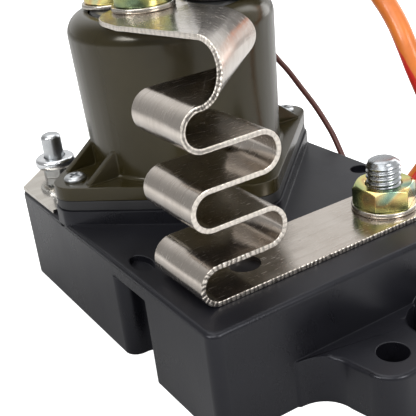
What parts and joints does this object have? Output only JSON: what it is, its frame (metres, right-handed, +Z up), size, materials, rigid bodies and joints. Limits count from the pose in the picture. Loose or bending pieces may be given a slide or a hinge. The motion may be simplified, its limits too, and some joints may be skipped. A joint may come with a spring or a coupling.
{
  "type": "glow plug relay",
  "caption": "Engine glow plug relay: brown moulded contactor with stud terminals and a folded metal shunt strip, on a black controller base with fixing ears.",
  "frame": {"origin": "centre of the base housing's bottom face", "axes": "+Z up along the relay's axis, -Y towards the shunt strip and the front ear, +X to the right of that front"},
  "size_m": [0.0904, 0.1422, 0.0861],
  "materials": {
    "base_plastic": "satin black moulding",
    "potting": "cast black compound",
    "board": "green board",
    "board_parts": "black parts",
    "pad_rubber": "black sealing pad",
    "relay_plastic": "olive brown moulding",
    "header_plastic": "black moulding",
    "zinc": "bright zinc",
    "yellow_zinc": "yellow passivated zinc",
    "nickel": "nickel plated, satin",
    "bobbin_plastic": "natural nylon",
    "copper": "copper",
    "plain_steel": "bare steel",
    "boot_rubber": "black rubber",
    "orange_insulation": "orange insulation",
    "brown_insulation": "brown insulation"
  },
  "bodies": {
    "relay_base": {"base_housing": "base_plastic", "potting_block": "potting", "circuit_board": "board", "board_parts": "board_parts", "relay_pad": "pad_rubber", "relay_housing": "relay_plastic", "relay_header": "header_plastic", "relay_screws": "zinc", "coil_bobbin": "bobbin_plastic", "coil_winding": "copper", "pole_plate": "plain_steel", "return_spring": "plain_steel", "load_stud": "zinc", "feed_stud": "zinc", "coil_stud_boot": "zinc", "coil_stud_open": "zinc", "load_washer": "zinc", "load_lock_washer": "yellow_zinc", "load_nut": "yellow_zinc", "feed_flat_washer": "zinc", "feed_washer": "yellow_zinc", "feed_nut": "yellow_zinc", "boot_ring_terminal": "nickel", "boot_nut": "yellow_zinc", "terminal_boot": "boot_rubber", "open_ring_terminal": "nickel", "open_nut": "yellow_zinc", "shunt_strip": "nickel", "base_stud": "zinc", "base_washer": "zinc", "base_nut": "yellow_zinc", "corner_plate": "nickel", "corner_stud": "zinc", "corner_washer": "zinc", "corner_nut": "zinc", "orange_lead": "orange_insulation", "brown_lead": "brown_insulation", "orange_grommet": "boot_rubber", "brown_grommet": "boot_rubber"},
    "plunger_group": {"plunger": "plain_steel", "contact_insulator": "bobbin_plastic", "contact_disc": "copper"}
  },
  "joints": [
    {"name": "plunger_travel", "type": "slide", "parent": "relay_base", "child": "plunger_group", "axis": [0, 0, 1], "range_m": [0, 0.002], "stiffness_N_per_m": 400, "springref_m": -0.003, "deforming": ["return_spring"]}
  ]
}
